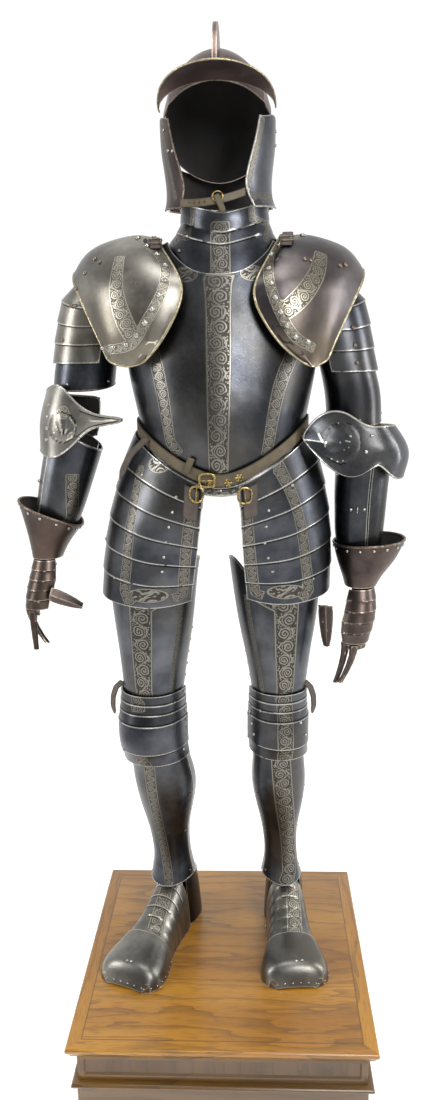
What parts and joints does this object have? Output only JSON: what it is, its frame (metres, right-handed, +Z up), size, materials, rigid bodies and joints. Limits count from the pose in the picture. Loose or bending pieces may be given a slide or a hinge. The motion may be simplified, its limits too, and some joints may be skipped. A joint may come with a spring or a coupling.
{
  "type": "suit of plate armour on an oak plinth",
  "caption": "Hollow suit of etched blued-steel plate armour with an open helmet, standing as worn on a square oak display plinth.",
  "frame": {"origin": "centre of the plinth's underside, on the floor", "axes": "+Z up through the suit, -Y the way the suit faces, +X to the suit's left"},
  "size_m": [0.786, 0.6, 2.0145],
  "materials": {
    "blued_steel": "blued and polished, with etched bands",
    "russet_steel": "russet brown",
    "leather": "worn, waxed",
    "brass": "dull polish",
    "oak": "satin varnish"
  },
  "bodies": {
    "suit": {"arm_lames_L": "blued_steel", "arm_lames_R": "blued_steel", "backplate": "blued_steel", "belt": "leather", "belt_buckle": "brass", "breastplate": "blued_steel", "cheek_piece_L": "russet_steel", "cheek_piece_R": "russet_steel", "chin_strap": "leather", "couter_L": "blued_steel", "couter_R": "blued_steel", "cuisse_L": "blued_steel", "cuisse_R": "blued_steel", "culet": "blued_steel", "fauld": "blued_steel", "gauntlet_cuff_L": "russet_steel", "gauntlet_cuff_R": "russet_steel", "gauntlet_fingers_L": "russet_steel", "gauntlet_fingers_R": "russet_steel", "gauntlet_hand_L": "russet_steel", "gauntlet_hand_R": "russet_steel", "gauntlet_thumb_L": "russet_steel", "gauntlet_thumb_R": "russet_steel", "gorget_back": "blued_steel", "gorget_front": "blued_steel", "greave_back_L": "blued_steel", "greave_back_R": "blued_steel", "greave_front_L": "blued_steel", "greave_front_R": "blued_steel", "helmet_skull": "russet_steel", "lower_cannon_inner_L": "blued_steel", "lower_cannon_inner_R": "blued_steel", "lower_cannon_outer_L": "blued_steel", "lower_cannon_outer_R": "blued_steel", "nape_guard": "russet_steel", "pauldron_L": "blued_steel", "pauldron_R": "blued_steel", "plinth_base": "oak", "plinth_carcass": "oak", "plinth_top": "oak", "poleyn_L": "blued_steel", "poleyn_R": "blued_steel", "sabaton_heel_L": "blued_steel", "sabaton_heel_R": "blued_steel", "sabaton_lames_L": "blued_steel", "sabaton_lames_R": "blued_steel", "sabaton_toe_L": "blued_steel", "sabaton_toe_R": "blued_steel", "tasset_L": "blued_steel", "tasset_R": "blued_steel", "tasset_strap_L": "leather", "tasset_strap_R": "leather", "upper_cannon_L": "blued_steel", "upper_cannon_R": "blued_steel"},
    "peak": {"helmet_peak": "russet_steel"}
  },
  "joints": [
    {"name": "peak_pivot", "type": "hinge", "parent": "suit", "child": "peak", "pos_m": [0.012, 0.01, 1.866], "axis": [1, 0, 0], "range_deg": [0, 18]}
  ]
}
